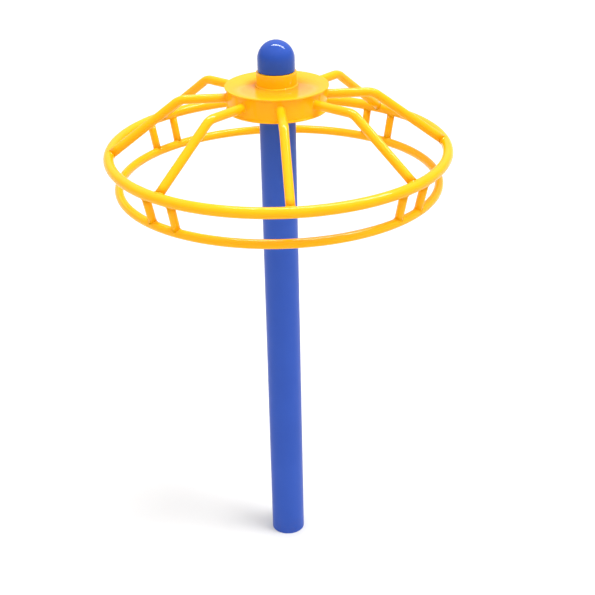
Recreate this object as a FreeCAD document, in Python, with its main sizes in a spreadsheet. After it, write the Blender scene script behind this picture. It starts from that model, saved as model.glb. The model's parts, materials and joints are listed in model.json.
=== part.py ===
"""Overhead merry go round: a fixed round post with a free-turning hub and two hand rings on spokes.

The frame's origin is the centre of the post's foot on the ground, with +Z up along the turning axis.
All sizes are millimetres. The post, spindle, inner races, nut and cap stand still. The hub, spokes,
rings, struts, outer races and seals turn on two deep-groove ball bearings inside the hub's collar.
"""
import FreeCAD, Part
import math
import os
import re

import Sketcher

Vector = FreeCAD.Vector
Z_AXIS = Vector(0, 0, 1)
FULL_TURN = 360

# How many of each repeated piece or cut there are.
SPOKE_COUNT = 8
STRUT_PAIRS = 4
BALL_COUNT = 10
NUT_SLOT_COUNT = 4

# ------------------------------------------------------------------ driving sizes
# name, value, meaning. They go into the spreadsheet as plain numbers.
SIZES = [
    ("hub_floor_level", 1771.0, "underside of the hub's floor plate above the ground"),
    ("post_diameter", 127.0, "outside diameter of the post"),
    ("post_wall", 4.8, "wall of the post"),
    ("post_plate_thickness", 12.0, "plate that closes the post's top"),
    ("guide_plate_thickness", 10.0, "plate inside the post that steadies the spindle's foot"),
    ("guide_plate_drop", 150.0, "top of the guide plate below the top of the post"),
    ("slip_clearance", 0.1, "radial room of a piece that slips over or into another"),
    ("weld_gap", 0.1, "root gap between a coped tube end and the tube it is welded to"),
    ("hub_height", 84.0, "underside of the floor plate to the top of the top plate"),
    ("hub_diameter", 362.0, "outside diameter of the hub's top plate"),
    ("plate_thickness", 6.0, "hub top plate and floor plate"),
    ("plate_chamfer", 1.0, "broken edges of the hub plates"),
    ("top_overhang", 6.0, "top plate beyond the drum, on the radius"),
    ("floor_overhang", 3.0, "floor plate beyond the drum, on the radius"),
    ("drum_wall", 4.0, "wall of the hub's drum"),
    ("collar_rise", 48.0, "bearing housing above the top plate"),
    ("collar_drop", 9.0, "bearing housing below the floor plate"),
    ("collar_chamfer", 1.5, "broken outer edges of the bearing housing"),
    ("housing_wall", 10.0, "least wall of the housing around a bearing"),
    ("web_shelf", 7.0, "step of the housing's middle web that an outer race butts on"),
    ("skirt_wall", 4.5, "wall of the housing's skirt round the post's top"),
    ("skirt_clearance", 2.0, "radial room between the skirt and the post"),
    ("skirt_overlap", 6.0, "how far the post's top reaches up into the skirt"),
    ("skirt_gap", 2.0, "running gap between the post's top and the housing above it"),
    ("bearing_bore", 60.0, "bore of both ball bearings"),
    ("bearing_outside", 110.0, "outside diameter of both ball bearings"),
    ("bearing_width", 22.0, "width of both ball bearings"),
    ("ball_diameter", 15.875, "bearing ball"),
    ("race_clearance", 0.08, "raceway radius beyond the ball's radius"),
    ("cage_wall", 4.0, "radial thickness of a ball cage"),
    ("cage_rim", 1.6, "cage above and below a ball's pocket"),
    ("pocket_clearance", 0.2, "cage pocket radius beyond the ball's radius"),
    ("spindle_shoulder", 6.0, "step of the spindle below the lower bearing, on the radius"),
    ("seal_width", 7.5, "width of each housing seal"),
    ("seal_gap", 0.5, "axial room between a seal and the bearing beside it"),
    ("seal_clearance", 0.1, "radial room between a seal's lip and what it runs on"),
    ("spacer_wall", 5.0, "wall of the sleeve between the inner races"),
    ("nut_space", 17.0, "top of the upper bearing to the top of the housing"),
    ("washer_thickness", 2.0, "tabbed lock washer"),
    ("washer_wall", 9.5, "radial width of the lock washer"),
    ("nut_thickness", 11.0, "slotted lock nut"),
    ("nut_wall", 10.0, "radial width of the lock nut"),
    ("nut_slot_width", 8.0, "slot for a hook spanner"),
    ("nut_slot_depth", 3.5, "depth of that slot"),
    ("keyway_width", 8.0, "keyway in the spindle's threaded end"),
    ("keyway_depth", 4.0, "depth of that keyway"),
    ("key_clearance", 0.1, "room round the washer's tab in the keyway"),
    ("thread_clearance", 0.05, "radial room in a threaded joint, drawn plain"),
    ("stud_diameter", 20.0, "stud that holds the cap"),
    ("stud_depth", 30.0, "stud inside the spindle"),
    ("stud_reach", 48.0, "stud inside the cap's boss"),
    ("stud_end_room", 5.0, "hole beyond each end of the stud"),
    ("cap_gap", 1.5, "running gap between the housing's top and the cap's rim"),
    ("cap_overhang", 1.5, "cap beyond the post, on the radius"),
    ("cap_height", 106.5, "cap from its rim to the top of its dome"),
    ("cap_wall", 3.5, "wall of the cap"),
    ("boss_wall", 6.0, "wall of the cap's threaded boss"),
    ("rim_diameter", 1229.0, "outside diameter of the upper ring"),
    ("rim_tube", 38.1, "tube of the upper ring"),
    ("rim_wall", 3.2, "wall of the upper ring's tube"),
    ("rim_drop", 150.0, "centre line of the upper ring below the hub's floor plate"),
    ("ring_spacing", 117.5, "upper ring's centre line to lower ring's centre line"),
    ("ring_inset", 27.7, "how much smaller the lower ring's centre line is, on the radius"),
    ("grip_tube", 31.75, "tube of the lower ring"),
    ("grip_wall", 3.2, "wall of the lower ring's tube"),
    ("spoke_tube", 31.75, "tube of the spokes"),
    ("spoke_wall", 3.2, "wall of the spokes' tube"),
    ("spoke_rise", 44.0, "spokes' level run above the underside of the floor plate"),
    ("elbow_reach", 336.0, "spoke's elbow from the turning axis, where its two centre lines cross"),
    ("elbow_bend", 60.0, "bend radius of that elbow, on the centre line"),
    ("strut_tube", 28.6, "tube of the struts between the rings"),
    ("strut_wall", 2.6, "wall of the struts' tube"),
    ("strut_spread", 11.0, "angle between the two struts of a pair, in degrees"),
    ("vent_diameter", 8.0, "vent hole in a ring under each strut's end"),
]

# ------------------------------------------------------------------ sizes that follow from them
DERIVED = [
    ("post_radius", "post_diameter / 2"),
    ("post_bore_radius", "post_radius - post_wall"),
    ("collar_bottom", "hub_floor_level - collar_drop"),
    ("post_top", "collar_bottom + skirt_overlap"),
    ("post_length", "post_top - post_plate_thickness"),
    ("guide_top", "post_top - guide_plate_drop"),
    ("guide_floor", "guide_top - guide_plate_thickness"),
    ("guide_radius", "post_bore_radius - slip_clearance"),
    ("housing_step", "post_top + skirt_gap"),
    ("lower_seal_top", "housing_step + seal_width"),
    ("lower_race_floor", "lower_seal_top + seal_gap"),
    ("lower_race_top", "lower_race_floor + bearing_width"),
    ("hub_top", "hub_floor_level + hub_height"),
    ("drum_floor", "hub_floor_level + plate_thickness"),
    ("drum_ceiling", "hub_top - plate_thickness"),
    ("collar_top", "hub_top + collar_rise"),
    ("upper_race_top", "collar_top - nut_space"),
    ("upper_race_floor", "upper_race_top - bearing_width"),
    ("upper_seal_floor", "upper_race_top + seal_gap"),
    ("upper_seal_top", "upper_seal_floor + seal_width"),
    ("nut_floor", "upper_race_top + washer_thickness"),
    ("nut_top", "nut_floor + nut_thickness"),
    ("spindle_radius", "bearing_bore / 2"),
    ("shoulder_radius", "spindle_radius + spindle_shoulder"),
    ("spacer_radius", "spindle_radius + spacer_wall"),
    ("washer_radius", "spindle_radius + washer_wall"),
    ("nut_radius", "spindle_radius + nut_wall"),
    ("bearing_radius", "bearing_outside / 2"),
    ("web_radius", "bearing_radius - web_shelf"),
    ("skirt_reach", "post_radius + skirt_clearance + skirt_wall"),
    ("collar_radius", "max(skirt_reach; bearing_radius + housing_wall)"),
    ("skirt_radius", "collar_radius - skirt_wall"),
    ("pitch_radius", "(bearing_bore + bearing_outside) / 4"),
    ("ball_radius", "ball_diameter / 2"),
    ("raceway_radius", "ball_radius + race_clearance"),
    ("race_land", "ball_radius * 0.65"),
    ("inner_land_radius", "pitch_radius - race_land"),
    ("outer_land_radius", "pitch_radius + race_land"),
    ("pocket_radius", "ball_radius + pocket_clearance"),
    ("cage_half_height", "pocket_radius + cage_rim"),
    ("cage_inner_radius", "pitch_radius - cage_wall / 2"),
    ("cage_outer_radius", "pitch_radius + cage_wall / 2"),
    ("sleeve_radius", "collar_radius + slip_clearance"),
    ("top_plate_radius", "hub_diameter / 2"),
    ("drum_radius", "top_plate_radius - top_overhang"),
    ("drum_bore_radius", "drum_radius - drum_wall"),
    ("floor_plate_radius", "drum_radius + floor_overhang"),
    ("spoke_level", "hub_floor_level + spoke_rise"),
    ("spoke_radius", "spoke_tube / 2"),
    ("spoke_bore_radius", "spoke_radius - spoke_wall"),
    ("spoke_hole_radius", "spoke_radius + slip_clearance"),
    ("rim_tube_radius", "rim_tube / 2"),
    ("rim_bore_radius", "rim_tube_radius - rim_wall"),
    ("rim_radius", "rim_diameter / 2 - rim_tube_radius"),
    ("rim_level", "hub_floor_level - rim_drop"),
    ("grip_tube_radius", "grip_tube / 2"),
    ("grip_bore_radius", "grip_tube_radius - grip_wall"),
    ("grip_radius", "rim_radius - ring_inset"),
    ("grip_level", "rim_level - ring_spacing"),
    ("strut_radius", "strut_tube / 2"),
    ("strut_bore_radius", "strut_radius - strut_wall"),
    ("strut_slope", "ring_inset / ring_spacing"),
    ("rim_vent_radius", "rim_radius - strut_slope * rim_tube_radius"),
    ("grip_vent_radius", "grip_radius + strut_slope * grip_tube_radius"),
    ("vent_radius", "vent_diameter / 2"),
    ("cap_radius", "post_radius + cap_overhang"),
    ("cap_rim_level", "collar_top + cap_gap"),
    ("cap_spring_level", "cap_rim_level + cap_height - cap_radius"),
    ("cap_bore_radius", "cap_radius - cap_wall"),
    ("cap_crown_level", "cap_rim_level + cap_height - cap_wall"),
    ("stud_radius", "stud_diameter / 2"),
    ("tapped_radius", "stud_radius + thread_clearance"),
    ("boss_radius", "tapped_radius + boss_wall"),
    ("key_floor", "spindle_radius - keyway_depth"),
    ("tab_width", "keyway_width - 2 * key_clearance"),
    ("tab_tip", "key_floor + key_clearance"),
    ("threaded_radius", "spindle_radius + thread_clearance"),
]

doc = FreeCAD.newDocument("merry_go_round")
sheet = doc.addObject("Spreadsheet::Sheet", "sizes")
derived = doc.addObject("App::VarSet", "derived")
OWNER = {}


def fill_sheet():
    """Write each driving size into its own row, with its name as the cell's alias."""
    for row, (name, size, meaning) in enumerate(SIZES, start=1):
        sheet.set(f"A{row}", name)
        sheet.set(f"B{row}", str(size))
        sheet.setAlias(f"B{row}", name)
        sheet.set(f"C{row}", meaning)
        OWNER[name] = "sizes."


def fill_derived():
    """Give each derived size its own property, worked out from the sheet and from each other."""
    for name, rule in DERIVED:
        derived.addProperty("App::PropertyFloat", name, "derived", rule)
        OWNER[name] = "derived."
        derived.setExpression(name, bound(rule))


def bound(rule):
    """The rule as an expression: each size's name gets the name of the object that holds it."""
    return re.sub(r"[a-z_]+", lambda word: OWNER.get(word[0], "") + word[0], rule)


def size_of(name):
    """The present value of one named size, for a sketch's starting shape."""
    return getattr(sheet if OWNER[name] == "sizes." else derived, name)


# ------------------------------------------------------------------ sketches and bodies


def new_body(label):
    """An empty body that will become one sub-part."""
    body = doc.addObject("PartDesign::Body", label)
    body.Label = label
    return body


def origin_feature(body, role):
    """One of the body's own origin planes or axes."""
    return next(feature for feature in body.Origin.OriginFeatures if feature.Role == role)


def new_sketch(body, name, role, level=None):
    """A sketch on one of the body's origin planes, lifted along the plane's normal to a level."""
    sketch = body.newObject("Sketcher::SketchObject", name)
    sketch.AttachmentSupport = [(origin_feature(body, role), "")]
    sketch.MapMode = "FlatFace"
    if level:
        sketch.setExpression("AttachmentOffset.Base.z", bound(level))
    return sketch


def constrain(sketch, kind, *target, rule=None, start=1.0):
    """Add one constraint, and bind its value to a rule where it has one."""
    if rule is None:
        sketch.addConstraint(Sketcher.Constraint(kind, *target))
        return
    index = sketch.addConstraint(Sketcher.Constraint(kind, *target, start))
    sketch.setExpression(f"Constraints[{index}]", bound(rule))


def place_point(sketch, geometry, vertex, across, up):
    """Hold one vertex at a distance across and up from the sketch's origin."""
    here = sketch.getPoint(geometry, vertex)
    if across == "0":
        constrain(sketch, "PointOnObject", geometry, vertex, -2)
    else:
        constrain(sketch, "DistanceX", -1, 1, geometry, vertex, rule=across, start=here.x)
    if up == "0":
        constrain(sketch, "PointOnObject", geometry, vertex, -1)
    else:
        constrain(sketch, "DistanceY", -1, 1, geometry, vertex, rule=up, start=here.y)


def draw_circle(sketch, across, up, radius):
    """A circle whose centre and radius are rules."""
    circle = sketch.addGeometry(Part.Circle(Vector(10, 10, 0), Z_AXIS, 5), False)
    place_point(sketch, circle, 3, across, up)
    constrain(sketch, "Radius", circle, rule=radius)
    return circle


def draw_outline(sketch, corners):
    """A closed outline of straight sides through corners, each a pair of rules (across, up)."""
    count = len(corners)
    # The starting shape is a regular polygon; the constraints then pull each corner to its place.
    start = [FreeCAD.Rotation(Z_AXIS, FULL_TURN * k / count).multVec(Vector(50, 0, 0)) for k in range(count)]
    for k in range(count):
        sketch.addGeometry(Part.LineSegment(start[k], start[(k + 1) % count]), False)
    for k, (across, up) in enumerate(corners):
        constrain(sketch, "Coincident", k, 2, (k + 1) % count, 1)
        place_point(sketch, k, 1, across, up)


def turn(body, corners):
    """Turn an outline, given as (radius, level) corners, a full circle about the body's Z axis."""
    sketch = new_sketch(body, "outline", "XZ_Plane")
    draw_outline(sketch, corners)
    return revolve(body, "PartDesign::Revolution", sketch)


def revolve(body, kind, sketch):
    """A Revolution or a Groove of a sketch about its vertical axis."""
    feature = body.newObject(kind, "turned")
    feature.Profile = sketch
    feature.ReferenceAxis = (sketch, ["V_Axis"])
    feature.Angle = FULL_TURN
    return feature


def turned_ring(label, inner, outer, floor, top):
    """A plain ring or sleeve between two radii and two levels."""
    body = new_body(label)
    turn(body, [(inner, floor), (outer, floor), (outer, top), (inner, top)])
    return body


def groove_circle(body, across, up, radius):
    """Cut a round groove that runs all the way about the Z axis."""
    sketch = new_sketch(body, "groove_section", "XZ_Plane")
    draw_circle(sketch, across, up, radius)
    return revolve(body, "PartDesign::Groove", sketch)


def groove_outline(body, corners):
    """Cut the ring that an outline sweeps about the Z axis."""
    sketch = new_sketch(body, "groove_outline", "XZ_Plane")
    draw_outline(sketch, corners)
    return revolve(body, "PartDesign::Groove", sketch)


def repeat_about_axis(body, feature, count):
    """Repeat a cut evenly about the Z axis and make the pattern the body's result."""
    pattern = body.newObject("PartDesign::PolarPattern", "pattern")
    pattern.Originals = [feature]
    pattern.Axis = (origin_feature(body, "Z_Axis"), [""])
    pattern.Angle = FULL_TURN
    pattern.Occurrences = count
    body.Tip = pattern
    return pattern


def radial_holes(body, level, radius, depth, count):
    """Round holes drilled outwards from the axis to a depth, evenly spaced."""
    sketch = new_sketch(body, "hole_section", "YZ_Plane")
    draw_circle(sketch, "0", level, radius)
    pocket = body.newObject("PartDesign::Pocket", "hole")
    pocket.Profile = sketch
    pocket.Reversed = True
    pocket.setExpression("Length", bound(depth))
    repeat_about_axis(body, pocket, count)


# ------------------------------------------------------------------ the fixed post


def make_post():
    """The round tube that stands on the ground and carries everything."""
    body = new_body("post")
    section = new_sketch(body, "section", "XY_Plane")
    draw_circle(section, "0", "0", "post_radius")
    draw_circle(section, "0", "0", "post_bore_radius")
    tube = body.newObject("PartDesign::Pad", "tube")
    tube.Profile = section
    tube.setExpression("Length", bound("post_length"))


def make_post_plates():
    """The plate on the post's top and the one inside it, both bored for the spindle's foot."""
    bore = "shoulder_radius + slip_clearance"
    turned_ring("post_top_plate", bore, "post_radius", "post_length", "post_top")
    turned_ring("spindle_guide_plate", bore, "guide_radius", "guide_floor", "guide_top")


def make_spindle():
    """The stepped shaft on top of the post, tapped for the cap's stud and slotted for the washer."""
    body = new_body("spindle")
    turn(body, [
        ("0", "guide_floor"),
        ("shoulder_radius", "guide_floor"),
        ("shoulder_radius", "lower_race_floor"),
        ("spindle_radius", "lower_race_floor"),
        ("spindle_radius", "collar_top - collar_chamfer"),
        ("spindle_radius - collar_chamfer", "collar_top"),
        ("0", "collar_top"),
    ])
    bottom = "collar_top - stud_depth - stud_end_room"
    groove_outline(body, [
        ("0", bottom),
        ("tapped_radius", bottom),
        ("tapped_radius", "collar_top + stud_end_room"),
        ("0", "collar_top + stud_end_room"),
    ])
    keyway = new_sketch(body, "keyway_section", "XY_Plane", "collar_top")
    draw_outline(keyway, [
        ("key_floor", "-keyway_width / 2"),
        ("spindle_radius + keyway_depth", "-keyway_width / 2"),
        ("spindle_radius + keyway_depth", "keyway_width / 2"),
        ("key_floor", "keyway_width / 2"),
    ])
    slot = body.newObject("PartDesign::Pocket", "keyway")
    slot.Profile = keyway
    slot.setExpression("Length", bound("nut_space + key_clearance"))


def make_spindle_hardware():
    """The sleeve between the inner races, the tabbed washer, the slotted nut and the cap's stud."""
    sleeve_bore = "spindle_radius + slip_clearance"
    turned_ring("bearing_spacer", sleeve_bore, "spacer_radius", "lower_race_top", "upper_race_floor")
    turned_ring("cap_stud", "0", "stud_radius", "collar_top - stud_depth", "collar_top + stud_reach")

    washer = turned_ring("lock_washer", "threaded_radius", "washer_radius", "upper_race_top", "nut_floor")
    tab = new_sketch(washer, "tab_section", "XY_Plane", "upper_race_top")
    draw_outline(tab, [
        ("tab_tip", "-tab_width / 2"),
        ("washer_radius - washer_wall / 2", "-tab_width / 2"),
        ("washer_radius - washer_wall / 2", "tab_width / 2"),
        ("tab_tip", "tab_width / 2"),
    ])
    tongue = washer.newObject("PartDesign::Pad", "tab")
    tongue.Profile = tab
    tongue.setExpression("Length", bound("washer_thickness"))

    nut = turned_ring("lock_nut", "threaded_radius", "nut_radius", "nut_floor", "nut_top")
    slot_section = new_sketch(nut, "slot_section", "XY_Plane", "nut_top")
    draw_outline(slot_section, [
        ("nut_radius - nut_slot_depth", "-nut_slot_width / 2"),
        ("nut_radius + nut_slot_depth", "-nut_slot_width / 2"),
        ("nut_radius + nut_slot_depth", "nut_slot_width / 2"),
        ("nut_radius - nut_slot_depth", "nut_slot_width / 2"),
    ])
    slot = nut.newObject("PartDesign::Pocket", "spanner_slot")
    slot.Profile = slot_section
    slot.setExpression("Length", bound("nut_thickness"))
    repeat_about_axis(nut, slot, NUT_SLOT_COUNT)


def add_primitive(kind, name, **rules):
    """A Part primitive whose properties are bound to rules; level is its height on the axis."""
    shape = doc.addObject(kind, name)
    for prop, rule in rules.items():
        shape.setExpression("Placement.Base.z" if prop == "level" else prop, bound(rule))
    return shape


def dome_solid(name, radius):
    """A solid round-ended plug: a cylinder from the cap's rim up to half a ball."""
    straight = add_primitive(
        "Part::Cylinder", name + "_wall", Radius=radius, level="cap_rim_level",
        Height="cap_spring_level - cap_rim_level",
    )
    crown = add_primitive("Part::Sphere", name + "_crown", Radius=radius, level="cap_spring_level")
    crown.Angle1 = 0
    plug = doc.addObject("Part::Fuse", name)
    plug.Base = straight
    plug.Tool = crown
    return plug


def make_cap():
    """The hollow domed cap, with a boss inside that screws down on the stud to the spindle's top."""
    shell = doc.addObject("Part::Cut", "cap_shell")
    shell.Base = dome_solid("cap_outside", "cap_radius")
    shell.Tool = dome_solid("cap_inside", "cap_bore_radius")
    boss = add_primitive(
        "Part::Cylinder", "cap_boss", Radius="boss_radius", level="collar_top",
        Height="cap_crown_level - collar_top",
    )
    joined = doc.addObject("Part::Fuse", "cap_with_boss")
    joined.Base = shell
    joined.Tool = boss
    hole = add_primitive(
        "Part::Cylinder", "cap_boss_hole", Radius="tapped_radius", level="collar_top - stud_end_room",
        Height="stud_reach + 2 * stud_end_room",
    )
    cap = doc.addObject("Part::Cut", "post_cap")
    cap.Label = "post_cap"
    cap.Base = joined
    cap.Tool = hole


# ------------------------------------------------------------------ the two ball bearings


def make_bearing(side, floor, top):
    """One deep-groove ball bearing: two races, a ring of balls and a drilled cage."""
    middle = f"({floor} + {top}) / 2"
    inner = turned_ring(f"{side}_bearing_inner_race", "spindle_radius", "inner_land_radius", floor, top)
    groove_circle(inner, "pitch_radius", middle, "raceway_radius")
    outer = turned_ring(f"{side}_bearing_outer_race", "outer_land_radius", "bearing_radius", floor, top)
    groove_circle(outer, "pitch_radius", middle, "raceway_radius")

    cage = turned_ring(
        f"{side}_bearing_cage", "cage_inner_radius", "cage_outer_radius",
        f"{middle} - cage_half_height", f"{middle} + cage_half_height",
    )
    radial_holes(cage, middle, "pocket_radius", "cage_outer_radius + cage_wall", BALL_COUNT)

    balls = doc.addObject("Part::Compound", f"{side}_bearing_balls")
    balls.Label = f"{side}_bearing_balls"
    ring = []
    for k in range(BALL_COUNT):
        ball = add_primitive("Part::Sphere", f"{side}_ball", Radius="ball_radius", level=middle)
        turn_angle = f"{k} * {FULL_TURN} / {BALL_COUNT}"
        ball.setExpression("Placement.Base.x", bound(f"pitch_radius * cos({turn_angle})"))
        ball.setExpression("Placement.Base.y", bound(f"pitch_radius * sin({turn_angle})"))
        ring.append(ball)
    balls.Links = ring


# ------------------------------------------------------------------ the turning hub


def make_housing():
    """The hub's thick collar: a skirt over the post's top, two bearing seats and a web between."""
    body = new_body("bearing_housing")
    turn(body, [
        ("skirt_radius", "collar_bottom"),
        ("collar_radius - collar_chamfer", "collar_bottom"),
        ("collar_radius", "collar_bottom + collar_chamfer"),
        ("collar_radius", "collar_top - collar_chamfer"),
        ("collar_radius - collar_chamfer", "collar_top"),
        ("bearing_radius", "collar_top"),
        ("bearing_radius", "upper_race_floor"),
        ("web_radius", "upper_race_floor"),
        ("web_radius", "lower_race_top"),
        ("bearing_radius", "lower_race_top"),
        ("bearing_radius", "housing_step"),
        ("skirt_radius", "housing_step"),
    ])


def make_hub_plate(label, radius, floor, top):
    """One round hub plate, slipped over the housing, with its outer edges broken."""
    turn(new_body(label), [
        ("sleeve_radius", floor),
        (f"{radius} - plate_chamfer", floor),
        (radius, f"{floor} + plate_chamfer"),
        (radius, f"{top} - plate_chamfer"),
        (f"{radius} - plate_chamfer", top),
        ("sleeve_radius", top),
    ])


def make_hub():
    """The drum, drilled for the spokes, between its two plates, and the two housing seals."""
    make_hub_plate("hub_bottom_plate", "floor_plate_radius", "hub_floor_level", "drum_floor")
    make_hub_plate("hub_top_plate", "top_plate_radius", "drum_ceiling", "hub_top")
    drum = turned_ring("hub_drum", "drum_bore_radius", "drum_radius", "drum_floor", "drum_ceiling")
    radial_holes(drum, "spoke_level", "spoke_hole_radius", "drum_radius + drum_wall", SPOKE_COUNT)
    turned_ring(
        "lower_seal", "shoulder_radius + seal_clearance", "bearing_radius", "housing_step", "lower_seal_top",
    )
    turned_ring(
        "upper_seal", "nut_radius + seal_clearance", "bearing_radius", "upper_seal_floor", "upper_seal_top",
    )


# ------------------------------------------------------------------ rings, spokes and struts


def make_ring(label, radius, level, tube, bore, vent_circle, vents_up):
    """A hollow round hoop, vented through the wall where each strut's end covers the hole."""
    body = new_body(label)
    section = new_sketch(body, "section", "XZ_Plane")
    draw_circle(section, radius, level, tube)
    draw_circle(section, radius, level, bore)
    revolve(body, "PartDesign::Revolution", section)

    vents = new_sketch(body, "vent_section", "XY_Plane", level)
    for angle in pair_angles(0):
        draw_circle(
            vents, f"{vent_circle} * cos({angle})", f"{vent_circle} * sin({angle})", "vent_radius",
        )
    drilling = body.newObject("PartDesign::Pocket", "vent")
    drilling.Profile = vents
    drilling.Reversed = vents_up
    drilling.setExpression("Length", bound(f"{tube} + rim_wall"))
    repeat_about_axis(body, drilling, STRUT_PAIRS)


def pair_angles(pair):
    """The angles, as rules in degrees, of the two struts that stand either side of a diagonal spoke."""
    middle = f"({pair} + 0.5) * {FULL_TURN} / {STRUT_PAIRS}"
    return [f"{middle} - strut_spread / 2", f"{middle} + strut_spread / 2"]


def sweep_tube(body, path, edges, outside, bore):
    """A hollow tube along a path sketch, with its section square to the path's start."""
    section = body.newObject("Sketcher::SketchObject", "tube_section")
    section.AttachmentSupport = [(path, "Edge1")]
    section.MapMode = "NormalToEdge"
    draw_circle(section, "0", "0", outside)
    draw_circle(section, "0", "0", bore)
    tube = body.newObject("PartDesign::AdditivePipe", "tube")
    tube.Profile = section
    tube.Spine = (path, edges)


def swing(body, angle):
    """Turn a finished sub-part about the Z axis by a rule in degrees."""
    body.Placement = FreeCAD.Placement(Vector(0, 0, 0), FreeCAD.Rotation(Z_AXIS, 1))
    body.setExpression("Placement.Rotation.Angle", bound(angle))


def draw_spoke_path(sketch):
    """A level run from inside the collar, an elbow, and a straight run down to the upper ring."""
    level = size_of("spoke_level")
    reach = size_of("elbow_reach")
    bend = size_of("elbow_bend")
    rim = Vector(size_of("rim_radius"), size_of("rim_level"), 0)
    corner = Vector(reach, level, 0)
    down = (rim - corner).normalize()
    swerve = math.acos(down.x)
    tangent = bend * math.tan(swerve / 2)
    centre = Vector(reach - tangent, level - bend, 0)

    inner_run = sketch.addGeometry(
        Part.LineSegment(Vector(reach / 2, level, 0), Vector(reach - tangent, level, 0)), False)
    elbow = sketch.addGeometry(
        Part.ArcOfCircle(Part.Circle(centre, Z_AXIS, bend), math.pi / 2 - swerve, math.pi / 2), False)
    outer_run = sketch.addGeometry(Part.LineSegment(corner + down * tangent, rim), False)
    cross = sketch.addGeometry(Part.Point(corner), True)

    constrain(sketch, "Horizontal", inner_run)
    place_point(sketch, inner_run, 1, "collar_radius - skirt_wall", "spoke_level")
    constrain(sketch, "Tangent", inner_run, 2, elbow, 2)
    constrain(sketch, "Tangent", elbow, 1, outer_run, 1)
    constrain(sketch, "Radius", elbow, rule="elbow_bend", start=bend)
    place_point(sketch, outer_run, 2, "rim_radius", "rim_level")
    constrain(sketch, "PointOnObject", cross, 1, inner_run)
    constrain(sketch, "PointOnObject", cross, 1, outer_run)
    constrain(sketch, "DistanceX", -1, 1, cross, 1, rule="elbow_reach", start=reach)


def make_spoke(index):
    """One bent tube, coped at its inner end to the housing and at its outer end to the upper ring."""
    body = new_body(f"spoke_{index + 1}")
    path = new_sketch(body, "path", "XZ_Plane")
    draw_spoke_path(path)
    doc.recompute()
    sweep_tube(body, path, ["Edge1", "Edge2", "Edge3"], "spoke_radius", "spoke_bore_radius")
    groove_circle(body, "rim_radius", "rim_level", "rim_tube_radius + weld_gap")
    groove_outline(body, [
        ("0", "drum_floor"),
        ("collar_radius + weld_gap", "drum_floor"),
        ("collar_radius + weld_gap", "drum_ceiling"),
        ("0", "drum_ceiling"),
    ])
    swing(body, f"{index} * {FULL_TURN} / {SPOKE_COUNT}")


def make_strut(index, angle):
    """One short straight tube between the two rings, coped to both."""
    body = new_body(f"strut_{index + 1}")
    path = new_sketch(body, "path", "XZ_Plane")
    line = path.addGeometry(
        Part.LineSegment(
            Vector(size_of("grip_radius"), size_of("grip_level"), 0),
            Vector(size_of("rim_radius"), size_of("rim_level"), 0),
        ), False)
    place_point(path, line, 1, "grip_radius", "grip_level")
    place_point(path, line, 2, "rim_radius", "rim_level")
    doc.recompute()
    sweep_tube(body, path, ["Edge1"], "strut_radius", "strut_bore_radius")
    groove_circle(body, "rim_radius", "rim_level", "rim_tube_radius + weld_gap")
    groove_circle(body, "grip_radius", "grip_level", "grip_tube_radius + weld_gap")
    swing(body, angle)


def make_rings_and_arms():
    """The two hoops, the spokes that carry them and the struts that join them."""
    make_ring("upper_ring", "rim_radius", "rim_level", "rim_tube_radius", "rim_bore_radius",
              "rim_vent_radius", False)
    make_ring("lower_ring", "grip_radius", "grip_level", "grip_tube_radius", "grip_bore_radius",
              "grip_vent_radius", True)
    for index in range(SPOKE_COUNT):
        make_spoke(index)
    angles = [angle for pair in range(STRUT_PAIRS) for angle in pair_angles(pair)]
    for index, angle in enumerate(angles):
        make_strut(index, angle)


# ------------------------------------------------------------------ checks and export
FIXED_LABELS = [
    "post", "post_top_plate", "spindle_guide_plate", "spindle", "bearing_spacer", "lock_washer",
    "lock_nut", "cap_stud", "post_cap", "bearing_housing", "hub_bottom_plate", "hub_top_plate",
    "hub_drum", "lower_seal", "upper_seal", "upper_ring", "lower_ring",
]
BEARING_PIECES = ["inner_race", "outer_race", "cage", "balls"]
LEAST_CUT = 1.0  # cubic millimetres that every cut has to take away


def sub_part_labels():
    """The label of every sub-part, which is also its file's name."""
    labels = list(FIXED_LABELS)
    labels += [f"{side}_bearing_{piece}" for side in ("lower", "upper") for piece in BEARING_PIECES]
    labels += [f"spoke_{k + 1}" for k in range(SPOKE_COUNT)]
    labels += [f"strut_{k + 1}" for k in range(2 * STRUT_PAIRS)]
    return labels


def check_features():
    """Stop on any failed object, and on any pocket or groove that cuts nothing."""
    for item in doc.Objects:
        if "Invalid" in item.State or "Error" in item.State:
            raise RuntimeError(f"{item.Name} failed: {item.State}")
        if item.TypeId in ("PartDesign::Pocket", "PartDesign::Groove"):
            taken = item.BaseFeature.Shape.Volume - item.Shape.Volume
            if taken < LEAST_CUT:
                raise RuntimeError(f"{item.Name} cuts nothing")


def export_parts():
    """Check each sub-part's shape, then write it to its own STEP file."""
    os.makedirs("parts", exist_ok=True)
    found = {label: doc.getObjectsByLabel(label)[0] for label in sub_part_labels()}
    for label, item in found.items():
        if item.Shape.isNull() or not item.Shape.isValid():
            raise RuntimeError(f"{label} has no valid shape")
    for label, item in found.items():
        item.Shape.exportStep(f"parts/{label}.step")
        print(f"{label}: {len(item.Shape.Solids)} solid(s), {item.Shape.Volume / 1000:.1f} cm3")


def main():
    """Build every sub-part and write the files."""
    fill_sheet()
    fill_derived()
    doc.recompute()
    make_post()
    make_post_plates()
    make_spindle()
    make_spindle_hardware()
    make_cap()
    make_bearing("lower", "lower_race_floor", "lower_race_top")
    make_bearing("upper", "upper_race_floor", "upper_race_top")
    make_housing()
    make_hub()
    make_rings_and_arms()
    doc.recompute()
    check_features()
    export_parts()


main()
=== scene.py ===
"""Looks of the overhead merry go round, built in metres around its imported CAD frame."""
import json
import math
import random

import bpy
from mathutils import Matrix, Vector


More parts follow.
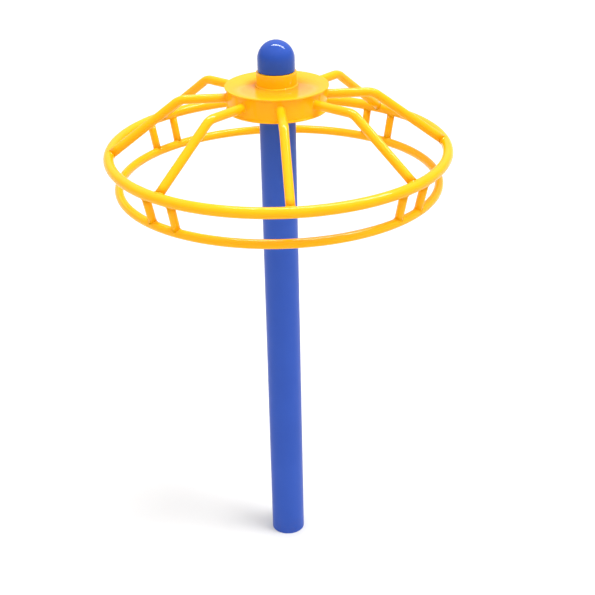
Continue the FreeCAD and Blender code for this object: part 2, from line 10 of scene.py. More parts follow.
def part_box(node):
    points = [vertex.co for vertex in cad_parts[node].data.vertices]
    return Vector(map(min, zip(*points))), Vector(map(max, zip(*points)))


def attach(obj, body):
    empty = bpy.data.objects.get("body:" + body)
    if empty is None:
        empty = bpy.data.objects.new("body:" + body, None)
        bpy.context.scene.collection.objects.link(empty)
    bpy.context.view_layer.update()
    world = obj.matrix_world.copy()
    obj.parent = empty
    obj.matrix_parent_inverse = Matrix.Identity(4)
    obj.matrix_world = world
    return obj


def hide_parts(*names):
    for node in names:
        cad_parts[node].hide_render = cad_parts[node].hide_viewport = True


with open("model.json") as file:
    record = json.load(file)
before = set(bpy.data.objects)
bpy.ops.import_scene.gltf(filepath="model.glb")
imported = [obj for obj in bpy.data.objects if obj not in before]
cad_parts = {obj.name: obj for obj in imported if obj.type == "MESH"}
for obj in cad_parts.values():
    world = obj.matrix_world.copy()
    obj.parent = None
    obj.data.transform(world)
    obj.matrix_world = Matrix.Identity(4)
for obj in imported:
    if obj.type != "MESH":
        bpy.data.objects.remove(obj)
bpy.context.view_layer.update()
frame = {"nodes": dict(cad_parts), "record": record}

TURN = 2 * math.pi
UP = Vector((0, 0, 1))
HEAD = "head"
POST = "post"
NODES = frame["nodes"]

# ------------------------------------------------------------------ sizes
# Most come from the frame. Walls, gaps, the elbow and the struts' tube can't be read from a node's box.
post_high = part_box("post")[1]
POST_RADIUS = post_high.x
POST_TOP = post_high.z
POST_WALL = 0.0048

collar_low, collar_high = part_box("bearing_housing")
COLLAR_RADIUS = collar_high.x
BEARING_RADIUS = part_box("lower_bearing_outer_race")[1].x
SKIRT_WALL = 0.0045
SKIRT_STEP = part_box("lower_seal")[0].z
LOWER_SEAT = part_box("lower_bearing_outer_race")[1].z
UPPER_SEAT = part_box("upper_bearing_outer_race")[0].z
WEB_SHELF = 0.007  # step that an outer race butts on
WEB_RADIUS = BEARING_RADIUS - WEB_SHELF

top_plate_low, top_plate_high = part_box("hub_top_plate")
floor_plate_low, floor_plate_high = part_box("hub_bottom_plate")
TOP_PLATE_RADIUS = top_plate_high.x
FLOOR_PLATE_RADIUS = floor_plate_high.x
DRUM_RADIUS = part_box("hub_drum")[1].x

cap_low, cap_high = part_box("post_cap")
CAP_RADIUS = cap_high.x
CAP_GAP = 0.0015  # running gap under the cap's rim
CAP_RIM = collar_high.z + CAP_GAP
CAP_WALL = 0.0035
BOSS_RADIUS = 0.01605
STUD_HOLE_RADIUS = 0.01005
STUD_END_ROOM = 0.005
STUD_HOLE_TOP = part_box("cap_stud")[1].z + STUD_END_ROOM

SPOKE_COUNT = 8
SPOKE_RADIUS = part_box("spoke_3")[1].x
SPOKE_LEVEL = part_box("spoke_1")[1].z - SPOKE_RADIUS
SPOKE_WALL = 0.0032
ELBOW_REACH = 0.336
ELBOW_BEND = 0.060
ELBOW_OVALITY = 0.035

STRUT_COUNT = 8
STRUT_RADIUS = 0.0143
STRUT_WALL = 0.0026
STRUT_SPREAD = math.radians(11)

# ------------------------------------------------------------------ mesh building


class Ring:
    """A round hoop: its centre line's radius and level, and its tube's radius."""

    def __init__(self, node):
        low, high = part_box(node)
        self.tube = (high.z - low.z) / 2
        self.level = (high.z + low.z) / 2
        self.radius = high.x - self.tube

    def gap(self, point):
        """How far a point lies outside the hoop's surface."""
        return math.hypot(math.hypot(point.x, point.y) - self.radius, point.z - self.level) - self.tube

    def outward(self, point):
        """The hoop's surface normal nearest to a point."""
        flat = Vector((point.x, point.y, 0)).normalized()
        core = flat * self.radius + UP * self.level
        return (point - core).normalized()


class Drum:
    """An upright round wall about the axis."""

    def __init__(self, radius):
        self.radius = radius

    def gap(self, point):
        """How far a point lies outside the wall."""
        return math.hypot(point.x, point.y) - self.radius

    def outward(self, point):
        """The wall's normal nearest to a point."""
        return Vector((point.x, point.y, 0)).normalized()


RIM = Ring("upper_ring")
GRIP = Ring("lower_ring")


def add_mesh(name, vertices, faces, material, body):
    """A smooth-shaded mesh piece that rides on a body."""
    mesh = bpy.data.meshes.new(name)
    mesh.from_pydata(vertices, [], faces)
    mesh.validate()
    mesh.update()
    for polygon in mesh.polygons:
        polygon.use_smooth = True
    mesh.materials.append(material)
    piece = bpy.data.objects.new(name, mesh)
    bpy.context.scene.collection.objects.link(piece)
    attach(piece, body)
    return piece


def grid_faces(rows, columns, closed_rows):
    """Quads over a grid whose columns close on themselves, and its rows too where asked."""
    faces = []
    for i in range(rows if closed_rows else rows - 1):
        here, there = i * columns, (i + 1) % rows * columns
        for j in range(columns):
            k = (j + 1) % columns
            faces.append((here + j, here + k, there + k, there + j))
    return faces


SUPPORT = 0.0004  # distance of the extra edge loop that keeps flat faces flat beside a rounded edge
MARCH_STEPS = 60  # steps of a march towards a surface
HALVINGS = 40  # halvings that then close in on it


def rounded(corners, steps=5):
    """A profile through corners (radius, level, rounding), each corner softened by its rounding."""
    count = len(corners)
    points = []
    for k, (across, up, soft) in enumerate(corners):
        here = Vector((across, up))
        if not soft:
            points.append(here)
            continue
        before = (Vector(corners[k - 1][:2]) - here).normalized()
        after = (Vector(corners[(k + 1) % count][:2]) - here).normalized()
        half = before.angle(after) / 2
        reach = soft / math.tan(half)
        centre = here + (before + after).normalized() * (soft / math.sin(half))
        start, stop = here + before * reach - centre, here + after * reach - centre
        swing = start.angle_signed(stop)
        points.append(here + before * (reach + SUPPORT))
        for step in range(steps + 1):
            turned = Matrix.Rotation(-swing * step / steps, 2) @ start
            points.append(centre + turned)
        points.append(here + after * (reach + SUPPORT))
    return points


def lathe(name, profile, material, body, segments=192):
    """Turn a closed profile of (radius, level) points about the axis. Ends on the axis become poles."""
    on_axis = profile[0][0] < 1e-6
    rings = profile[1:-1] if on_axis else profile
    vertices = []
    for radius, level in rings:
        for j in range(segments):
            a = TURN * j / segments
            vertices.append((radius * math.cos(a), radius * math.sin(a), level))
    faces = grid_faces(len(rings), segments, not on_axis)
    if on_axis:
        first, last = len(vertices), len(vertices) + 1
        vertices += [(0, 0, profile[0][1]), (0, 0, profile[-1][1])]
        edge = (len(rings) - 1) * segments
        for j in range(segments):
            k = (j + 1) % segments
            faces.append((first, k, j))
            faces.append((last, edge + j, edge + k))
    return add_mesh(name, vertices, faces, material, body)


def arc(centre, radius, start, stop, steps):
    """Points (radius, level) along an arc in the profile plane."""
    return [
        Vector((centre[0] + radius * math.cos(a), centre[1] + radius * math.sin(a)))
        for a in (start + (stop - start) * k / steps for k in range(steps + 1))
    ]


def meet(start, direction, surface, reach):
    """The point where a line from outside a surface first reaches it, found by halving."""
    travel = 0.0
    while surface.gap(start + direction * travel) > 0 and travel < reach:
        travel += reach / MARCH_STEPS
    low, high = travel - reach / MARCH_STEPS, travel
    for _ in range(HALVINGS):
        middle = (low + high) / 2
        if surface.gap(start + direction * middle) > 0:
            low = middle
        else:
            high = middle
    return start + direction * high


def section_point(centre, along, side, radius, turn_angle, flatten=0.0):
    """A point of a tube's wall. side is square to the tube's plane; flatten squeezes it in that plane."""
    lift = along.cross(side)
    sideways = side * (radius * (1 + flatten) * math.cos(turn_angle))
    return centre + sideways + lift * (radius * (1 - flatten) * math.sin(turn_angle))


def tube(name, stations, side, radius, wall, start_surface, stop_surface, material, segments=40):
    """A hollow tube through stations (centre, direction, flatten), cut to fit a surface at each end."""
    last = len(stations) - 1
    reach = 4 * radius
    walls = []
    for skin in (radius, radius - wall):
        rows = []
        for k, (centre, along, flatten) in enumerate(stations):
            row = []
            for j in range(segments):
                a = TURN * j / segments
                point = section_point(centre, along, side, skin, a, flatten)
                if k == 0:
                    point = meet(point + along * reach / 2, -along, start_surface, reach)
                if k == last:
                    point = meet(point - along * reach / 2, along, stop_surface, reach)
                row.append(point)
            rows.append(row)
        walls.append(rows)
    outer, inner = walls
    loop = outer + inner[::-1]
    vertices = [tuple(point) for row in loop for point in row]
    faces = [face[::-1] for face in grid_faces(len(loop), segments, True)]
    return add_mesh(name, vertices, faces, material, HEAD)


# ------------------------------------------------------------------ weld beads
RIPPLE = 0.0034  # length of one ripple of a bead
RIPPLE_DEPTH = 0.10  # how much a ripple swells the bead, over its leg
UNEVENNESS = 0.05  # how much its size wanders along the seam, over its leg
SWAY = 0.04  # how far it wanders off the seam, over its leg
TRAIL = 0.35  # how far a ripple's crown lags, over the ripple's length
THROAT = 0.62  # a bead's height over its leg
BEAD_SIDES = 10
SEARCH_ROOM = 0.02  # how far outside a surface the search for a seam starts

# The legs of the beads, and where each kind's random seeds start.
COLLAR_TOP_LEG, COLLAR_FOOT_LEG, DRUM_TOP_LEG, DRUM_FOOT_LEG = 0.0045, 0.0040, 0.0034, 0.0028
SPOKE_RIM_LEG, SPOKE_DRUM_LEG, STRUT_LEG = 0.0036, 0.0040, 0.0032
SPOKE_RIM_SEED, SPOKE_DRUM_SEED, STRUT_FOOT_SEED, STRUT_TOP_SEED = 10, 30, 50, 70


def bead(name, points, normals, leg, material, seed, body=HEAD):
    """A rippled weld bead along a closed line of points, swelling along each point's normal."""
    chance = random.Random(seed)
    phases = [chance.uniform(0, TURN) for _ in range(3)]
    count = len(points)
    length = sum((points[k] - points[k - 1]).length for k in range(count))
    ripples = max(8, round(length / RIPPLE))
    skin = []
    for k in range(count):
        share = k / count
        along = (points[(k + 1) % count] - points[k - 1]).normalized()
        out = normals[k] - along * normals[k].dot(along)
        out.normalize()
        across = along.cross(out)
        ripple = abs(math.sin(math.pi * ripples * share))
        wander = sum(math.sin(TURN * (n + 2) * share + phases[n]) for n in range(3)) / 3
        swell = leg * (1 + RIPPLE_DEPTH * (ripple - 0.5) + UNEVENNESS * wander)
        centre = points[k] + across * (leg * SWAY * wander)
        for j in range(BEAD_SIDES):
            a = TURN * j / BEAD_SIDES
            # The crown of each ripple trails behind its edges, as a torch leaves it.
            trail = along * (RIPPLE * TRAIL * math.cos(a) * ripple)
            raised = centre + out * (swell * THROAT * math.cos(a))
            skin.append(raised + across * (swell * math.sin(a)) + trail)
    faces = grid_faces(count, BEAD_SIDES, True)
    return add_mesh(name, [tuple(point) for point in skin], faces, material, body)


def seam_between(centre, along, side, radius, surface, samples):
    """The closed line where a tube meets a surface, and the outward direction between the two."""
    points, normals = [], []
    for j in range(samples):
        a = TURN * j / samples
        wall = section_point(centre, along, side, radius, a)
        point = meet(wall - along * radius * 3, along, surface, radius * 8)
        tube_out = (wall - centre).normalized()
        points.append(point)
        normals.append((tube_out + surface.outward(point)).normalized())
    return points, normals


def hoop_seam(radius, level, out_up, samples):
    """A level circle of seam points about the axis, whose outward direction tilts up or down."""
    points, normals = [], []
    for j in range(samples):
        a = TURN * j / samples
        flat = Vector((math.cos(a), math.sin(a), 0))
        points.append(flat * radius + UP * level)
        normals.append((flat + UP * out_up).normalized())
    return points, normals


# ------------------------------------------------------------------ materials


def new_tree(name):
    """A material with an empty Principled shader, and the pieces needed to build on it."""
    material = bpy.data.materials.new(name)
    material.use_nodes = True
    tree = material.node_tree
    shader = tree.nodes["Principled BSDF"]
    place = tree.nodes.new("ShaderNodeTexCoord").outputs["Object"]
    return material, tree, shader, place


def noise(tree, place, scale, detail=2.0, roughness=0.5, stretch=None):
    """A noise value over the object's own coordinates, drawn out along an axis where asked."""
    if stretch:
        mapping = tree.nodes.new("ShaderNodeMapping")
        mapping.inputs["Scale"].default_value = stretch
        tree.links.new(place, mapping.inputs["Vector"])
        place = mapping.outputs["Vector"]
    texture = tree.nodes.new("ShaderNodeTexNoise")
    texture.inputs["Scale"].default_value = scale
    texture.inputs["Detail"].default_value = detail
    texture.inputs["Roughness"].default_value = roughness
    tree.links.new(place, texture.inputs["Vector"])
    return texture.outputs["Fac"]


def spread(tree, value, low, high, out_low, out_high):
    """A value's range, low to high, carried to another range and held inside it."""
    span = tree.nodes.new("ShaderNodeMapRange")
    span.inputs["From Min"].default_value = low
    span.inputs["From Max"].default_value = high
    span.inputs["To Min"].default_value = out_low
    span.inputs["To Max"].default_value = out_high
    tree.links.new(value, span.inputs["Value"])
    return span.outputs["Result"]


def times(tree, first, second):
    """The product of two values; the second may be a plain number."""
    product = tree.nodes.new("ShaderNodeMath")
    product.operation = "MULTIPLY"
    tree.links.new(first, product.inputs[0])
    if isinstance(second, float):
        product.inputs[1].default_value = second
    else:
        tree.links.new(second, product.inputs[1])
    return product.outputs["Value"]


def plus(tree, first, second):
    """The sum of two values."""
    total = tree.nodes.new("ShaderNodeMath")
    total.operation = "ADD"
    tree.links.new(first, total.inputs[0])
    tree.links.new(second, total.inputs[1])
    return total.outputs["Value"]


def blend_colour(tree, share, first, second):
    """A mix of two colours, each a colour or a socket, by a share from 0 to 1."""
    mix = tree.nodes.new("ShaderNodeMix")
    mix.data_type = "RGBA"
    tree.links.new(share, mix.inputs["Factor"])
    for socket, colour in ((mix.inputs["A"], first), (mix.inputs["B"], second)):
        if isinstance(colour, tuple):
            socket.default_value = (*colour, 1)
        else:
            tree.links.new(colour, socket)
    return mix.outputs["Result"]


def bump(tree, shader, heights):
    """Chain bumps, each (value, strength, distance), into the shader's normal."""
    normal = None
    for value, strength, distance in heights:
        node = tree.nodes.new("ShaderNodeBump")
        node.inputs["Strength"].default_value = strength
        node.inputs["Distance"].default_value = distance
        tree.links.new(value, node.inputs["Height"])
        if normal:
            tree.links.new(normal, node.inputs["Normal"])
        normal = node.outputs["Normal"]
    tree.links.new(normal, shader.inputs["Normal"])


def facing_up(tree):
    """How far a surface faces the sky, from the side of level to straight up."""
    split = tree.nodes.new("ShaderNodeSeparateXYZ")
    tree.links.new(tree.nodes.new("ShaderNodeNewGeometry").outputs["Normal"], split.inputs["Vector"])
    return spread(tree, split.outputs["Z"], 0.35, 0.95, 0.0, 1.0)


def sharpness(tree):
    """How much a surface is an outer edge, where a coat is thin and rubbed."""
    point = tree.nodes.new("ShaderNodeNewGeometry").outputs["Pointiness"]
    return spread(tree, point, 0.52, 0.60, 0.0, 1.0)


def powder_coat(name, colour, deep, chalk, roughness, soil=0.0, worn_edges=False):
    """Gloss powder coat: orange peel, slow drifts of shade, hairline scuffs, dust on top, thin edges."""
    material, tree, shader, place = new_tree(name)
    drift = spread(tree, noise(tree, place, scale=5.0, detail=3.0), 0.35, 0.65, 0.0, 1.0)
    speck = spread(tree, noise(tree, place, scale=260.0, detail=2.0), 0.66, 0.74, 0.0, 0.25)
    tone = blend_colour(tree, drift, colour, deep)
    tone = blend_colour(tree, speck, tone, deep)

    streaks = noise(tree, place, scale=60.0, detail=5.0, roughness=0.7, stretch=(1.0, 1.0, 6.0))
    scuff = spread(tree, streaks, 0.64, 0.71, 0.0, 1.0)
    clouds = noise(tree, place, scale=22.0, detail=5.0, roughness=0.65)
    dust = times(tree, facing_up(tree), spread(tree, clouds, 0.45, 0.75, 0.0, 0.02))
    tone = blend_colour(tree, times(tree, scuff, 0.015), tone, chalk)
    tone = blend_colour(tree, dust, tone, chalk)
    if worn_edges:
        rubbing = spread(tree, noise(tree, place, scale=90.0, detail=4.0), 0.35, 0.6, 0.01, 0.10)
        edge = times(tree, sharpness(tree), rubbing)
        tone = blend_colour(tree, edge, tone, chalk)

    gloss = noise(tree, place, scale=14.0, detail=4.0)
    rough = spread(tree, gloss, 0.3, 0.7, roughness - 0.02, roughness + 0.03)
    rough = plus(tree, rough, times(tree, scuff, 0.015))
    rough = plus(tree, rough, times(tree, dust, 1.2))
    if soil:
        split = tree.nodes.new("ShaderNodeSeparateXYZ")
        tree.links.new(place, split.inputs["Vector"])
        near_ground = spread(tree, split.outputs["Z"], 0.0, 0.12, 1.0, 0.0)
        specks_of_soil = noise(tree, place, scale=40.0, detail=6.0, roughness=0.7)
        splash = spread(tree, specks_of_soil, 0.48, 0.72, 0.0, soil)
        splash = times(tree, times(tree, near_ground, near_ground), splash)
        tone = blend_colour(tree, splash, tone, SOIL)
        rough = plus(tree, rough, splash)

    tree.links.new(tone, shader.inputs["Base Color"])
    tree.links.new(rough, shader.inputs["Roughness"])
    shader.inputs["IOR"].default_value = 1.25
    peel = noise(tree, place, scale=420.0, detail=1.0)
    sag = noise(tree, place, scale=55.0, detail=1.0)
    bump(tree, shader, [(peel, 0.05, 0.0003), (sag, 0.06, 0.0006)])
    return material


def machined(name, colour, dark, roughness):
    """Turned metal: fine rings of tool marks about the axis and an uneven film of grease."""
    material, tree, shader, place = new_tree(name)
    marks = noise(tree, place, scale=300.0, detail=2.0, stretch=(0.02, 0.02, 8.0))
    film = spread(tree, noise(tree, place, scale=30.0, detail=4.0), 0.4, 0.65, 0.0, 0.7)
    tree.links.new(blend_colour(tree, film, colour, dark), shader.inputs["Base Color"])
    shade = spread(tree, marks, 0.3, 0.7, roughness - 0.06, roughness + 0.10)
    tree.links.new(shade, shader.inputs["Roughness"])
    shader.inputs["Metallic"].default_value = 1.0
    bump(tree, shader, [(marks, 0.2, 0.0002)])
    return material


def rubber(name):
    """Matte black seal rubber with a mottled bloom."""
    material, tree, shader, place = new_tree(name)
    bloom = spread(tree, noise(tree, place, scale=80.0, detail=5.0), 0.4, 0.7, 0.0, 1.0)
    tone = blend_colour(tree, bloom, RUBBER_BLACK, RUBBER_BLOOM)
    tree.links.new(tone, shader.inputs["Base Color"])
    tree.links.new(spread(tree, bloom, 0.0, 1.0, 0.55, 0.75), shader.inputs["Roughness"])
    bump(tree, shader, [(noise(tree, place, scale=500.0, detail=2.0), 0.2, 0.0003)])
    return material


YELLOW = (0.97, 0.445, 0.004)
YELLOW_DEEP = (0.95, 0.420, 0.003)
YELLOW_CHALK = (0.95, 0.62, 0.22)
BLUE = (0.032, 0.092, 0.445)
BLUE_DEEP = (0.029, 0.085, 0.420)
BLUE_CHALK = (0.20, 0.26, 0.50)
CAP_BLUE = (0.018, 0.064, 0.350)
SOIL = (0.16, 0.12, 0.08)
RUBBER_BLACK = (0.018, 0.018, 0.019)
RUBBER_BLOOM = (0.045, 0.044, 0.042)

head_coat = powder_coat("head_powder_coat", YELLOW, YELLOW_DEEP, YELLOW_CHALK, 0.11)
hub_coat = powder_coat("hub_powder_coat", YELLOW, YELLOW_DEEP, YELLOW_CHALK, 0.17, worn_edges=True)
post_coat = powder_coat("post_powder_coat", BLUE, BLUE_DEEP, BLUE_CHALK, 0.38, soil=0.2)
cap_coat = powder_coat("cap_powder_coat", CAP_BLUE, BLUE_DEEP, BLUE_CHALK, 0.10)
FINISHES = {
    "post_coat": post_coat,
    "cap_coat": cap_coat,
    "head_coat": head_coat,
    "spindle_steel": machined("turned_steel", (0.52, 0.53, 0.55), (0.30, 0.29, 0.27), 0.34),
    "bearing_steel": machined("ground_steel", (0.70, 0.71, 0.73), (0.44, 0.43, 0.40), 0.16),
    "cage_brass": machined("machined_brass", (0.70, 0.50, 0.18), (0.42, 0.30, 0.12), 0.30),
    "zinc_hardware": machined("zinc_plate", (0.66, 0.68, 0.70), (0.50, 0.50, 0.47), 0.26),
    "seal_rubber": rubber("seal_rubber"),
}


def finish_nodes():
    """Give every CAD node the finish of its record slot."""
    for entry in frame["record"]["subparts"]:
        node = NODES[entry["node"]]
        node.data.materials.clear()
        node.data.materials.append(FINISHES[entry["material_slot"]])


# ------------------------------------------------------------------ the post and its cap


def make_post():
    """The post, hollow, with its cut ends lightly broken."""
    foot_soft, top_soft = 0.0008, 0.0003
    bore = POST_RADIUS - POST_WALL
    corners = [
        (bore, 0, foot_soft),
        (POST_RADIUS, 0, foot_soft),
        (POST_RADIUS, POST_TOP, top_soft),
        (bore, POST_TOP, top_soft),
    ]
    piece = lathe("post_tube", rounded(corners), post_coat, POST, 160)
    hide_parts("post")


def make_cap():
    """The domed cap, with a rolled lip at its rim and its boss inside."""
    spring = cap_high.z - CAP_RADIUS
    inner = CAP_RADIUS - CAP_WALL
    lip = CAP_WALL / 2
    boss_meet = math.acos(BOSS_RADIUS / inner)
    profile = [Vector((0, STUD_HOLE_TOP)), Vector((STUD_HOLE_RADIUS, STUD_HOLE_TOP))]
    profile += [Vector((STUD_HOLE_RADIUS, cap_low.z)), Vector((BOSS_RADIUS, cap_low.z))]
    profile += arc((0, spring), inner, boss_meet, 0, 20)
    profile += arc((CAP_RADIUS - lip, CAP_RIM + lip), lip, -math.pi, 0, 10)
    profile += arc((0, spring), CAP_RADIUS, 0, math.pi / 2, 40)
    profile[-1] = Vector((0, cap_high.z))
    piece = lathe("domed_cap", profile, cap_coat, POST, 128)
    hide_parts("post_cap")


# ------------------------------------------------------------------ the hub


def make_collar():
    """The bearing housing with softened outer edges and sharp bearing seats."""
    skirt = COLLAR_RADIUS - SKIRT_WALL
    inner_soft, foot_soft, top_soft = 0.0006, 0.0015, 0.0018
    corners = [
        (skirt, collar_low.z, inner_soft),
        (COLLAR_RADIUS, collar_low.z, foot_soft),
        (COLLAR_RADIUS, collar_high.z, top_soft),
        (BEARING_RADIUS, collar_high.z, inner_soft),
        (BEARING_RADIUS, UPPER_SEAT, 0),
        (WEB_RADIUS, UPPER_SEAT, 0),
        (WEB_RADIUS, LOWER_SEAT, 0),
        (BEARING_RADIUS, LOWER_SEAT, 0),
        (BEARING_RADIUS, SKIRT_STEP, 0),
        (skirt, SKIRT_STEP, 0),
    ]
    piece = lathe("collar", rounded(corners), hub_coat, HEAD)
    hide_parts("bearing_housing")


def make_plate(name, node, radius):
    """One hub plate with its outer edges rounded."""
    low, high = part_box(node)
    soft = 0.0016
    corners = [
        (COLLAR_RADIUS, low.z, 0),
        (radius, low.z, soft),
        (radius, high.z, soft),
        (COLLAR_RADIUS, high.z, 0),
    ]
    piece = lathe(name, rounded(corners), hub_coat, HEAD, 256)
    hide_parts(node)


def make_hub_welds():
    """Beads round the collar above and below the hub, and round the drum at both plates."""
    seams = [
        ("collar_top_weld", COLLAR_RADIUS, top_plate_high.z, 1, COLLAR_TOP_LEG),
        ("collar_foot_weld", COLLAR_RADIUS, floor_plate_low.z, -1, COLLAR_FOOT_LEG),
        ("drum_top_weld", DRUM_RADIUS, top_plate_low.z, -1, DRUM_TOP_LEG),
        ("drum_foot_weld", DRUM_RADIUS, floor_plate_high.z, 1, DRUM_FOOT_LEG),
    ]
    samples_a_ripple = 5
    for seed, (name, radius, level, out_up, leg) in enumerate(seams):
        samples = round(TURN * radius / RIPPLE) * samples_a_ripple
        points, normals = hoop_seam(radius, level, out_up, samples)
        piece = bead(name, points, normals, leg, head_coat, seed)


# ------------------------------------------------------------------ rings, spokes and struts


def make_hoop(name, node, ring):
    """One smooth hoop."""
    steps = 48
    profile = [
        Vector((ring.radius + ring.tube * math.cos(a), ring.level + ring.tube * math.sin(a)))
        for a in (TURN * k / steps for k in range(steps))
    ]
    piece = lathe(name, profile, head_coat, HEAD, 384)
    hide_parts(node)


def radial(angle):
    """The level direction outwards at an angle about the axis, and the direction square to it."""
    out = Vector((math.cos(angle), math.sin(angle), 0))
    return out, Vector((-math.sin(angle), math.cos(angle), 0))


def spoke_stations(out):
    """Centre, direction and flattening along a spoke: a level run, the elbow, and the run down."""
    corner = out * ELBOW_REACH + UP * SPOKE_LEVEL
    end = out * RIM.radius + UP * RIM.level
    down = (end - corner).normalized()
    swerve = out.angle(down)
    reach = ELBOW_BEND * math.tan(swerve / 2)
    centre = corner - out * reach - UP * ELBOW_BEND
    start = out * COLLAR_RADIUS + UP * SPOKE_LEVEL
    stations = []
    for share in (0, 0.25, 0.5, 0.75, 0.92):
        stations.append((start.lerp(corner - out * reach, share), out, 0.0))
    steps = 18
    for k in range(steps + 1):
        a = swerve * k / steps
        along = out * math.cos(a) - UP * math.sin(a)
        lift = out * math.sin(a) + UP * math.cos(a)
        # A bent tube goes slightly oval round its elbow.
        stations.append((centre + lift * ELBOW_BEND, along, ELBOW_OVALITY * math.sin(math.pi * k / steps)))
    for share in (0.06, 0.3, 0.6, 0.85, 1.0):
        stations.append(((corner + down * reach).lerp(end, share), down, 0.0))
    return stations, down, end


def make_spoke(index):
    """One bent spoke with its beads at the drum and at the upper ring."""
    out, side = radial(TURN * index / SPOKE_COUNT)
    name = f"spoke_{index + 1}"
    stations, down, end = spoke_stations(out)
    collar, drum = Drum(COLLAR_RADIUS), Drum(DRUM_RADIUS)
    piece = tube(f"{name}_tube", stations, side, SPOKE_RADIUS, SPOKE_WALL, collar, RIM, head_coat)
    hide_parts(name)

    samples = 180
    above_rim = end - down * SEARCH_ROOM
    off_drum = out * (DRUM_RADIUS + SEARCH_ROOM) + UP * SPOKE_LEVEL
    for place, start, heading, surface, leg, seed in (
        ("rim", above_rim, down, RIM, SPOKE_RIM_LEG, SPOKE_RIM_SEED),
        ("drum", off_drum, -out, drum, SPOKE_DRUM_LEG, SPOKE_DRUM_SEED),
    ):
        points, normals = seam_between(start, heading, side, SPOKE_RADIUS, surface, samples)
        weld = bead(f"{name}_{place}_weld", points, normals, leg, head_coat, seed + index)


def strut_angle(index):
    """The angle of one strut: each pair stands either side of a diagonal spoke."""
    middle = TURN * (2 * (index // 2) + 1) / SPOKE_COUNT
    return middle + (STRUT_SPREAD / 2 if index % 2 else -STRUT_SPREAD / 2)


def make_strut(index):
    """One strut between the rings with a bead at each end."""
    out, side = radial(strut_angle(index))
    name = f"strut_{index + 1}"
    foot = out * GRIP.radius + UP * GRIP.level
    top = out * RIM.radius + UP * RIM.level
    along = (top - foot).normalized()
    stations = [(foot.lerp(top, share), along, 0.0) for share in (0.0, 0.35, 0.65, 1.0)]
    piece = tube(f"{name}_tube", stations, side, STRUT_RADIUS, STRUT_WALL, GRIP, RIM, head_coat)
    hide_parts(name)

    samples = 160
    middle = foot.lerp(top, 0.5)
    for end, ring, heading, seed in (
        ("foot", GRIP, -along, STRUT_FOOT_SEED),
        ("top", RIM, along, STRUT_TOP_SEED),
    ):
        points, normals = seam_between(middle, heading, side, STRUT_RADIUS, ring, samples)
        weld = bead(f"{name}_{end}_weld", points, normals, STRUT_LEG, head_coat, seed + index)


# ------------------------------------------------------------------ floor, light and camera


def make_floor():
    """A wide round pale floor that fills the camera's whole view."""
    radius, sides = 45.0, 128
    angles = [TURN * k / sides for k in range(sides)]
    edge = [(radius * math.cos(a), radius * math.sin(a), 0) for a in angles]
    mesh = bpy.data.meshes.new("floor")
    mesh.from_pydata(edge, [], [tuple(range(sides))])
    floor = bpy.data.objects.new("floor", mesh)
    bpy.context.scene.collection.objects.link(floor)
    material, tree, shader, place = new_tree("studio_floor")
    shade = spread(tree, noise(tree, place, scale=0.8, detail=2.0), 0.3, 0.7, 0.0, 1.0)
    tone = blend_colour(tree, shade, (0.65, 0.65, 0.65), (0.66, 0.66, 0.66))
    tree.links.new(tone, shader.inputs["Base Color"])
    shader.inputs["Roughness"].default_value = 0.9
    shader.inputs["Specular IOR Level"].default_value = 0.1
    mesh.materials.append(material)


def add_lamp(name, kind, place, aim, along=Vector((1, 0, 0))):
    """A lamp at a place, aimed at a point, its long side lying along a direction."""
    lamp = bpy.data.lights.new(name, kind)
    holder = bpy.data.objects.new(name, lamp)
    back = (place - aim).normalized()
    across = (along - back * along.dot(back)).normalized()
    turn = Matrix((across, back.cross(across), back)).transposed().to_4x4()
    holder.matrix_world = Matrix.Translation(place) @ turn
    bpy.context.scene.collection.objects.link(holder)
    return lamp, holder


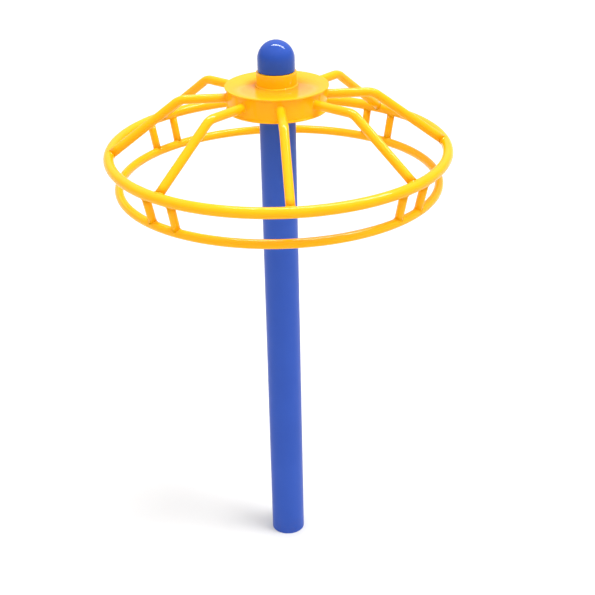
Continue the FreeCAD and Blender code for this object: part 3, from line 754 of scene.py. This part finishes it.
def make_world():
    """A studio dome: pale at the horizon, dimmer above it and bright overhead."""
    world = bpy.data.worlds.new("studio")
    world.use_nodes = True
    tree = world.node_tree
    split = tree.nodes.new("ShaderNodeSeparateXYZ")
    tree.links.new(tree.nodes.new("ShaderNodeTexCoord").outputs["Generated"], split.inputs["Vector"])
    rise = split.outputs["Z"]
    horizon_glow = spread(tree, rise, 0.06, 0.24, 0.50, 0.0)
    overhead_glow = spread(tree, rise, 0.15, 0.8, 0.36, 1.55)
    strength = plus(tree, horizon_glow, overhead_glow)
    tree.links.new(strength, tree.nodes["Background"].inputs["Strength"])
    tree.nodes["Background"].inputs["Color"].default_value = (1.0, 1.0, 1.0, 1)
    bpy.context.scene.world = world


def make_lights():
    """A broad sun for even light, and a long strip box overhead to the right for the highlights."""
    make_world()
    foot, hub_middle = Vector((0, 0, 0)), Vector((0, 0, 1.8))
    sun, holder = add_lamp("broad_sun", "SUN", Vector((2.0, -0.8, 6.0)), foot)
    sun.energy = 2.2
    sun.angle = math.radians(18)
    holder.visible_glossy = False
    left_end, right_end = Vector((-1.04, 1.14, 5.7)), Vector((2.72, 0.30, 4.9))
    middle, along = (left_end + right_end) / 2, right_end - left_end
    strip, holder = add_lamp("strip_box", "AREA", middle, hub_middle, along)
    strip.shape = "RECTANGLE"
    strip.size, strip.size_y = along.length, 0.5
    strip.energy = 330
    holder.visible_diffuse = False


def make_camera():
    """The camera's place, aim and lens, set from the turning axis and the ground."""
    distance, height = 4.2215, 3.111
    swing = math.radians(-3.27)  # round the object from straight in front
    pan, tilt, roll = 0.0134, 0.4572, math.radians(1.2)
    lens = bpy.data.cameras.new("camera")
    lens.sensor_width = 36
    lens.lens = 76.15
    lens.clip_start, lens.clip_end = 0.1, 100
    camera = bpy.data.objects.new("camera", lens)
    pose = Matrix.Rotation(swing, 4, "Z") @ Matrix.Translation((0, -distance, height))
    pose = pose @ Matrix.Rotation(-pan, 4, "Z") @ Matrix.Rotation(math.pi / 2 - tilt, 4, "X")
    camera.matrix_world = pose @ Matrix.Rotation(-roll, 4, "Z")
    bpy.context.scene.collection.objects.link(camera)
    bpy.context.scene.camera = camera


# ------------------------------------------------------------------ the whole scene
make_camera()
finish_nodes()
make_post()
make_cap()
make_collar()
make_plate("top_plate", "hub_top_plate", TOP_PLATE_RADIUS)
make_plate("floor_plate", "hub_bottom_plate", FLOOR_PLATE_RADIUS)
make_hub_welds()
make_hoop("rim_hoop", "upper_ring", RIM)
make_hoop("grip_hoop", "lower_ring", GRIP)
for number in range(SPOKE_COUNT):
    make_spoke(number)
for number in range(STRUT_COUNT):
    make_strut(number)
make_floor()
make_lights()
bpy.context.scene.view_settings.view_transform = "Standard"
